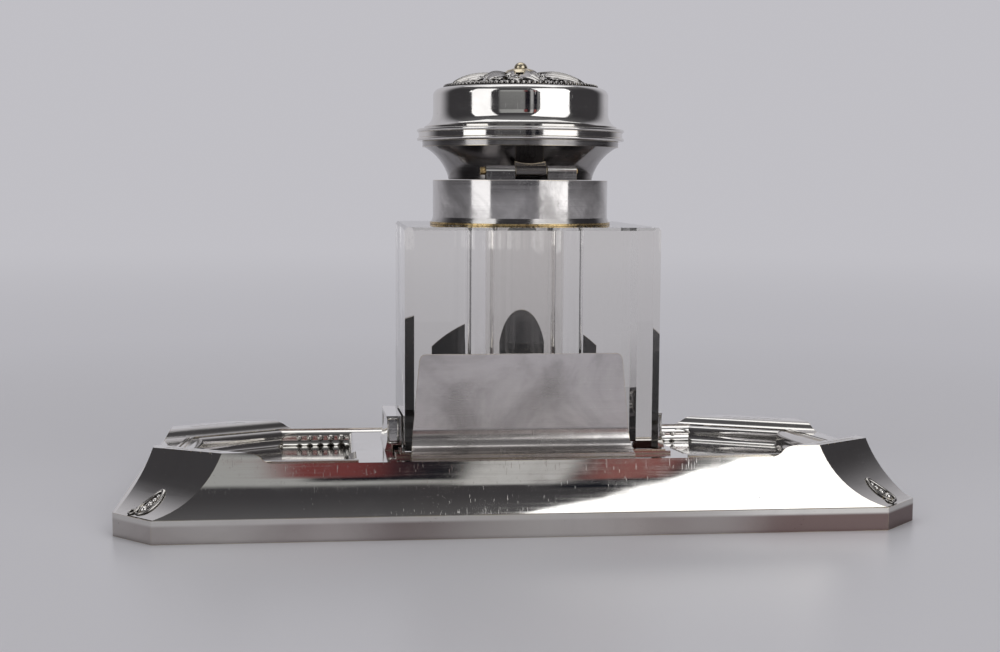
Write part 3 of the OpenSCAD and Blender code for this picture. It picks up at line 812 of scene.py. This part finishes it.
    def build_shells(self) -> None:
        """Almond loops with a ribbed leaf inside, at the foot of each corner face."""
        bm = bmesh.new()
        for corner in range(4):
            loop = []
            for share in shares(28):
                turn = math.pi * 2 * share - 0.35
                reach = (1 - math.cos(turn)) / 2
                aside = self.shell_half * math.sin(turn) * (1.15 - 0.55 * reach)
                loop.append(self.on_facet(corner, self.shell_from + self.shell_long * reach, aside,
                                          0.1 * MM))
            add_tube(bm, loop, [(0.34 + 0.22 * math.sin(math.pi * share)) * MM for share in shares(28)])
            for index in range(self.shell_ribs):
                spread = (index - self.shell_ribs // 2) * 0.42
                rib = []
                for share in shares(8):
                    reach = 0.8 * MM + self.shell_long * 0.62 * share
                    rib.append(self.on_facet(corner, self.shell_from + reach * math.cos(spread),
                                             reach * math.sin(spread) * 0.55, 0.0))
                swell = [math.sin(math.pi * (0.12 + 0.8 * share)) for share in shares(8)]
                add_tube(bm, rib, [0.36 * MM * size for size in swell], 6)
            curl = []
            for share in shares(18):
                turn = self.curl_turns * 2 * math.pi * share
                size = self.curl_radius * (1 - 0.7 * share)
                curl.append(self.on_facet(corner, self.shell_from + 0.6 * MM + size * math.cos(turn),
                                          size * math.sin(turn) - 2.6 * MM, 0.15 * MM))
            add_tube(bm, curl, [0.4 * MM * (1 - 0.5 * share) for share in shares(18)])
        finish_piece("corner_shells", bm, self.body, self.finishes.relief)

    def build_bracket_frames(self) -> None:
        """Raised frames on the end faces of the side brackets."""
        bm = bmesh.new()
        for side in (-1, 1):
            for end in (self.bracket_end, self.bracket_end - self.bracket_long):
                inner = self.bracket_in + self.frame_margins[0]
                outer = self.bracket_in + self.bracket_top - self.frame_margins[1]
                low, high = self.frame_levels
                ring = [(inner, low), (outer, low), (outer, high), (inner, high), (inner, low)]
                y = end + math.copysign(0.02 * MM, end)
                corners = [self.on_top(side * x + self.glass_x, y, up) for x, up in ring]
                for pair in zip(corners, corners[1:]):
                    add_tube(bm, pair, [self.frame_radius] * 2)
        finish_piece("bracket_frames", bm, self.body, self.finishes.relief)

    def build_groove_shade(self) -> None:
        """Dark lines in the grooves between the tiles of the corner pads, as painted shade in the
        grooves.
        """
        bm = bmesh.new()
        top = Matrix.Translation((0, 0, self.rim_height)) @ Matrix.Rotation(self.tilt, 4, "X")
        middle = self.pad_from + self.pad_width / 2
        skew = (self.corner_skew[0] - self.corner_skew[1]) / math.sqrt(2)
        for corner in range(4):
            side = -skew if corner % 2 == 0 else skew
            lines = [((middle + 0.2 * MM, side), (self.groove, self.tile_run))]
            for column in range(self.tile_columns + 1):
                across = side + (column - self.tile_columns / 2) * self.tile_pitch + 0.2 * MM
                lines.append(((middle + 0.6 * MM, across), (self.pad_width - 0.5 * MM, self.groove)))
            turn = Matrix.Rotation(math.radians(45 + 90 * corner), 4, "Z")
            for place, size in lines:
                box = Matrix.Translation((*place, self.pad_rise - 0.16 * MM))
                matrix = top @ turn @ box @ Matrix.Diagonal((*size, self.groove_deep, 1.0))
                bmesh.ops.create_cube(bm, size=1.0, matrix=matrix)
        finish_piece("tile_groove_shade", bm, self.body, self.finishes.dark, smooth=False)

    def build(self) -> None:
        """Builds all pieces of the stand."""
        self.dress()
        self.build_scrolls()
        self.build_ribs()
        self.build_shells()
        self.build_bracket_frames()
        self.build_groove_shade()


@dataclass
class Inkwell:
    """The cut glass block with its collar and the lower half of the hinge."""

    finishes: Finishes
    body: str = "inkwell"

    def build(self) -> None:
        """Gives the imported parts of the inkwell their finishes."""
        f = self.finishes
        dress_nodes({"glass_block": f.glass, "collar": f.collar_plate, "collar_washer": f.brass,
                     "collar_cement": f.cement, "hinge_lower_leaf": f.lid_plate, "hinge_pin": f.brass})


@dataclass
class Lid:
    """The hinged lid with its embossed top."""

    finishes: Finishes
    body: str = "lid"
    centre_x: float = -3.6 * MM
    centre_y: float = 4.0 * MM
    top_radius: float = 22.5 * MM
    dome_rise: float = 3.0 * MM
    thickness: float = 1.2 * MM
    leaves: int = 8
    leaf_root: float = 7.0 * MM
    leaf_length: float = 13.5 * MM
    leaf_width: float = 6.2 * MM
    leaf_rise: float = 1.5 * MM
    inner_root: float = 4.0 * MM
    inner_length: float = 8.6 * MM
    inner_width: float = 4.4 * MM
    curl_ring: float = 16.8 * MM
    curl_radius: float = 2.5 * MM
    curl_turns: float = 1.35
    berry_ring: float = 12.6 * MM
    rope_radius: float = 0.75 * MM
    rope_beads: int = 88
    foot: float = field(init=False)

    def __post_init__(self) -> None:
        """Takes the height of the top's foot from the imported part."""
        self.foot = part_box("lid_top")[0][2]

    def dome(self, radius: float) -> float:
        """Height of the plain dome.

        Args:
            radius: Distance from the lid's axis.

        Returns:
            Height above the top's foot.
        """
        sphere = (self.top_radius ** 2 + self.dome_rise ** 2) / (2 * self.dome_rise)
        return math.sqrt(max(0.0, sphere ** 2 - radius ** 2)) - sphere + self.dome_rise

    def place(self, radius: float, angle: float, up: float) -> Vector:
        """Place above the dome.

        Args:
            radius: Distance from the lid's axis.
            angle: Angle round the axis.
            up: Height above the dome.

        Returns:
            The place in the object's frame.
        """
        return Vector((self.centre_x + radius * math.cos(angle),
                       self.centre_y + radius * math.sin(angle), self.foot + self.dome(radius) + up))

    def build_dome(self, bm: bmesh.types.BMesh) -> None:
        """Adds the dome's closed shell by spinning its half section.

        Args:
            bm: Mesh to add to.
        """
        outer = [self.top_radius * (1 - share) for share in shares(18)]
        axis = Vector((self.centre_x, self.centre_y, 0))
        rows = [axis + Vector((r, 0, self.foot + self.dome(r))) for r in outer]
        rows += [axis + Vector((r, 0, self.foot + max(0.0, self.dome(r) - self.thickness)))
                 for r in reversed(outer)]
        verts = [bm.verts.new(p) for p in rows]
        edges = [bm.edges.new(pair) for pair in zip(verts, verts[1:])]
        bmesh.ops.spin(bm, geom=verts + edges, cent=axis, axis=(0, 0, 1), angle=2 * math.pi,
                       steps=96, use_merge=True)

    def add_leaf(self, bm: bmesh.types.BMesh, angle: float, start: float, length: float,
                 width: float, rise: float, sweep: float) -> None:
        """Adds one pointed leaf with a midrib, bent round the dome.

        Args:
            bm: Mesh to add to.
            angle: Angle of its root.
            start: Radius of its root.
            length: Its length.
            width: Its width.
            rise: Its height.
            sweep: Turn of its tip, in radians.
        """
        def outline(t: float) -> float:
            """Half width of the leaf at a share of its length."""
            return 0.06 + math.sin(math.pi * min(1.0, t * 0.97 + 0.03)) ** 0.75 * (1.0 - 0.35 * t)

        def at(t: float, u: float, up: float) -> Vector:
            """Place on the bent leaf, with its notched edges.

            Args:
                t: Share of the length.
                u: Share of the half width.
                up: Height above the dome.

            Returns:
                The place in the object's frame.
            """
            radius = start + length * t
            notch = 1.0 - 0.16 * abs(math.sin(t * math.pi * 4.5)) * abs(u) ** 2
            aside = u * width / 2 * outline(t) * notch
            turn = angle + sweep * t * t + aside / max(radius, 2 * MM)
            return self.place(radius, turn, up)

        def top(t: float, u: float) -> Vector:
            """Upper face, with its crown, its veins and its midrib.

            Args:
                t: Share of the length.
                u: Share of the half width.

            Returns:
                The place in the object's frame.
            """
            crown = math.sin(math.pi * min(1.0, 0.12 + 0.88 * t)) ** 0.6
            vein = 0.22 * rise * math.cos(u * math.pi * 3.0) * (1 - abs(u))
            rib = 0.35 * rise * max(0.0, 1 - abs(u) * 5)
            return at(t, u, rise * crown * (1 - 0.75 * u * u) + vein * crown + rib)

        def under(t: float, u: float) -> Vector:
            """Lower face, sunk into the dome."""
            return at(t, u, -0.25 * MM)

        add_sheet(bm, 10, 16, top, under)

    def add_curl(self, bm: bmesh.types.BMesh, angle: float, hand: int) -> None:
        """Adds one tendril that curls between two leaves.

        Args:
            bm: Mesh to add to.
            angle: Angle of its middle.
            hand: -1 or 1, the way that it curls.
        """
        path = []
        for share in shares(25):
            turn = share * self.curl_turns * 2 * math.pi
            size = self.curl_radius * (1 - 0.72 * share)
            radius = self.curl_ring + size * math.cos(turn) - share * MM
            path.append(self.place(radius, angle + hand * size * math.sin(turn) / radius, 0.35 * MM))
        add_tube(bm, path, [0.5 * MM * (1 - 0.45 * share) for share in shares(25)])
        add_bead(bm, path[-1], Vector((0.75, 0.75, 0.7)) * MM)

    def build_relief(self) -> None:
        """The embossed top: dome, two rings of leaves, tendrils and a roped border."""
        bm = bmesh.new()
        self.build_dome(bm)
        pitch = 2 * math.pi / self.leaves
        for index in range(self.leaves):
            angle = index * pitch
            between = angle + pitch / 2
            self.add_leaf(bm, angle, self.leaf_root, self.leaf_length, self.leaf_width,
                          self.leaf_rise, 0.16)
            self.add_leaf(bm, between, self.inner_root, self.inner_length, self.inner_width,
                          self.leaf_rise * 0.9, -0.12)
            for hand in (-1, 1):
                self.add_curl(bm, between + hand * 0.16, hand)
            add_bead(bm, self.place(self.berry_ring, between, 0.5 * MM), Vector((1.0, 1.0, 0.9)) * MM)
        ring = self.top_radius - self.rope_radius
        for share in shares(self.rope_beads)[:-1]:
            angle = share * 2 * math.pi
            turn = Quaternion((0, 0, 1), angle + math.radians(38))
            add_bead(bm, self.place(ring, angle, 0.15 * MM), Vector((0.42, 1.0, 0.72)) * MM, turn, 8)
        relief = finish_piece("lid_relief", bm, self.body, self.finishes.relief)
        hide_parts("lid_top")

    def build(self) -> None:
        """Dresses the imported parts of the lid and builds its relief."""
        f = self.finishes
        # The neck and the hinge's upper leaf take darkened copies of the plate: painted shade.
        dress_nodes({"lid_neck": f.neck_painted_shade_plate, "lid_band": f.lid_plate, "lid_drum": f.lid_plate,
                     "lid_lining": f.brass, "lid_finial": f.gilt, "hinge_upper_leaf": f.dark})
        self.build_relief()


def dress_nodes(looks: dict[str, bpy.types.Material]) -> None:
    """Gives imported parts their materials.

    Args:
        looks: Material for each part's name.
    """
    for name, material in looks.items():
        part = NODES[name]
        for index in range(max(1, len(part.material_slots))):
            if part.material_slots:
                part.material_slots[index].material = material
            else:
                part.data.materials.append(material)
        LOG.info("%s: dressed in %s", name, material.name)


# Studio


AIM_HEIGHT = 0.05


@dataclass(frozen=True)
class Patch:
    """One coloured area of the room, by its bounds in degrees from +Y towards -X and upwards."""

    left: float
    right: float
    low: float
    high: float
    colour: Colour
    soft: float = 0.7


class Sky(Tree):
    """Colours that depend on the direction that a ray leaves in.

    Args:
        tree: Node tree of the world.
    """

    def __init__(self, tree: bpy.types.NodeTree) -> None:
        """Splits the direction into azimuth and elevation."""
        super().__init__(tree)
        coords = self.node("ShaderNodeTexCoord")
        split = self.node("ShaderNodeSeparateXYZ")
        self.link(coords.outputs["Generated"], split.inputs[0])
        self.parts = split.outputs
        turned = self.math("MULTIPLY", self.parts["X"], -1.0)
        self.azimuth = self.math("DEGREES", self.math("ARCTAN2", turned, self.parts["Y"]))
        self.elevation = self.math("DEGREES", self.math("ARCSINE", self.parts["Z"]))

    def patch(self, under: Socket, area: Patch) -> Socket:
        """Lays one area over the colours below it.

        Args:
            under: Colours below.
            area: The area.

        Returns:
            The colours with the area.
        """
        sides = []
        for value, low, high in ((self.azimuth, area.left, area.right),
                                 (self.elevation, area.low, area.high)):
            sides.append(self.ramp(value, low - area.soft, low + area.soft))
            sides.append(self.ramp(value, high + area.soft, high - area.soft))
        inside = sides[0]
        for side in sides[1:]:
            inside = self.math("MULTIPLY", inside, side)
        return self.mix(inside, under, area.colour)


@dataclass(frozen=True)
class Lamp:
    """Soft rectangular lamp that faces the object, with its angles in degrees as in Patch."""

    name: str
    azimuth: float
    elevation: float
    distance: float
    size: tuple[float, float]
    power: float

    def build(self) -> None:
        """Adds the lamp to the scene."""
        light = bpy.data.lights.new(self.name, "AREA")
        light.shape = "RECTANGLE"
        light.size, light.size_y = self.size
        light.energy = self.power
        lamp = bpy.data.objects.new(self.name, light)
        bpy.context.scene.collection.objects.link(lamp)
        a, e = math.radians(self.azimuth), math.radians(self.elevation)
        away = Vector((-math.sin(a) * math.cos(e), math.cos(a) * math.cos(e), math.sin(e)))
        lamp.location = away * self.distance + Vector((0, 0, AIM_HEIGHT))
        lamp.rotation_euler = away.to_track_quat("Z", "Y").to_euler()
        lamp.visible_camera = False


@dataclass
class Studio:
    """Pale sweep, painted room, soft lamps and the photograph's camera."""

    backdrop: Colour = (0.530, 0.523, 0.556)
    horizon: Colour = (0.455, 0.449, 0.480)
    floor_colour: Colour = (0.74, 0.732, 0.765)
    floor_radius: float = 12.0
    floor_fade: tuple[float, float] = (0.14, 0.50)
    horizon_fade: tuple[float, float] = (0.15, 1.7)
    floor_roughness: float = 0.32
    floor_shine: float = 0.35
    room_low: Colour = (0.050, 0.048, 0.052)
    room_high: Colour = (0.20, 0.20, 0.205)
    ceiling: tuple[float, float] = (30.0, 80.0)
    behind: tuple[float, float] = (-0.80, -0.35)
    patches: tuple[Patch, ...] = (
        Patch(-34.0, 16.5, 3.0, 26.0, (0.36, 0.365, 0.36), 1.8),
        Patch(5.6, 9.4, 3.0, 27.0, (0.52, 0.52, 0.52), 0.8),
        Patch(-1.2, 5.4, -9.0, 23.0, (0.012, 0.012, 0.016)),
        Patch(-2.6, 1.6, 5.0, 20.0, (0.17, 0.045, 0.045), 1.2),
        Patch(9.4, 14.2, -9.0, 30.0, (0.010, 0.011, 0.016)),
        Patch(10.2, 13.2, 5.0, 24.0, (0.26, 0.095, 0.085), 0.9),
    )
    lamps: tuple[Lamp, ...] = (
        Lamp("window_left", -58.0, 22.0, 1.1, (0.55, 0.95), 2.4),
        Lamp("window_right", 38.0, 25.0, 1.1, (0.85, 1.10), 4.8),
        Lamp("top_soft", 175.0, 74.0, 1.7, (1.6, 1.2), 7.0),
    )
    camera_place: tuple[float, float, float] = (0.0491, 0.4365, 0.0918)
    camera_heading: tuple[float, float, float] = (-0.1077, -0.9896, -0.0954)
    camera_roll: float = 0.0054
    lens: float = 53.57
    sensor: float = 36.0
    clip_start: float = 0.01

    def build_world(self) -> None:
        """World that is pale behind the object and a dim room with lit walls on the camera's side."""
        world = bpy.data.worlds.new("studio_world")
        bpy.context.scene.world = world
        world.use_nodes = True
        sky = Sky(world.node_tree)
        room = sky.mix(sky.ramp(sky.elevation, *self.ceiling), self.room_low, self.room_high)
        for patch in self.patches:
            room = sky.patch(room, patch)
        behind = sky.ramp(sky.parts["Y"], *self.behind)
        shade = sky.mix(behind, self.backdrop, room)
        path = sky.node("ShaderNodeLightPath").outputs
        seen = sky.math("MAXIMUM", path["Is Camera Ray"], path["Is Transmission Ray"])
        background = sky.node("ShaderNodeBackground")
        sky.link(sky.mix(seen, shade, self.backdrop), background.inputs["Color"])
        output = sky.node("ShaderNodeOutputWorld")
        sky.link(background.outputs[0], output.inputs["Surface"])

    def build_floor(self) -> None:
        """Wide pale floor that fades into the backdrop."""
        bm = bmesh.new()
        bmesh.ops.create_circle(bm, cap_ends=True, segments=96, radius=self.floor_radius)
        mesh = bpy.data.meshes.new("studio_floor")
        bm.to_mesh(mesh)
        bm.free()
        floor = bpy.data.objects.new("studio_floor", mesh)
        bpy.context.scene.collection.objects.link(floor)
        g = Graph("floor_paper")
        away = g.node("ShaderNodeVectorMath", operation="LENGTH")
        g.link(g.place, away.inputs[0])
        distance = away.outputs["Value"]
        paper = g.node("ShaderNodeBsdfPrincipled")
        paper.inputs["Base Color"].default_value = (*self.floor_colour, 1.0)
        paper.inputs["Roughness"].default_value = self.floor_roughness
        paper.inputs["Specular IOR Level"].default_value = self.floor_shine
        glow = g.node("ShaderNodeEmission")
        g.link(g.mix(g.ramp(distance, *self.horizon_fade), self.horizon, self.backdrop),
               glow.inputs["Color"])
        blend = g.node("ShaderNodeMixShader")
        g.link(g.ramp(distance, *self.floor_fade), blend.inputs[0])
        g.link(paper.outputs[0], blend.inputs[1])
        g.link(glow.outputs[0], blend.inputs[2])
        g.link(blend.outputs[0], g.output.inputs["Surface"])
        mesh.materials.append(g.material)

    def build_camera(self) -> None:
        """Camera at the photograph's place, turn and lens."""
        data = bpy.data.cameras.new("photo_camera")
        data.sensor_width = self.sensor
        data.lens = self.lens
        data.clip_start = self.clip_start
        camera = bpy.data.objects.new("photo_camera", data)
        bpy.context.scene.collection.objects.link(camera)
        camera.location = self.camera_place
        turn = Vector(self.camera_heading).to_track_quat("-Z", "Y")
        camera.rotation_euler = (turn @ Quaternion((0, 0, 1), self.camera_roll)).to_euler()
        bpy.context.scene.camera = camera

    def build(self) -> None:
        """Sets the whole studio."""
        self.build_world()
        self.build_floor()
        for lamp in self.lamps:
            lamp.build()
        self.build_camera()
        bpy.context.scene.view_settings.view_transform = "Standard"


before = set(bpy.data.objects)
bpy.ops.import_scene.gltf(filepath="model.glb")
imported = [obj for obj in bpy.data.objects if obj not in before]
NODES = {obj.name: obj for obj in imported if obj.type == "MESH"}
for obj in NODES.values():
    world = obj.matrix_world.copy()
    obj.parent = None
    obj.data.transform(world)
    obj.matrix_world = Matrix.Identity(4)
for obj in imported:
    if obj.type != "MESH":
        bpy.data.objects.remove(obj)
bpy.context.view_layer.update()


def main() -> None:
    """Builds the studio and the three sub-assemblies in order."""
    logging.basicConfig(level=logging.INFO, format="%(name)s: %(message)s")
    Studio().build()
    finishes = Finishes()
    for assembly in (Stand(finishes), Inkwell(finishes), Lid(finishes)):
        assembly.build()


if __name__ == "__main__":
    main()
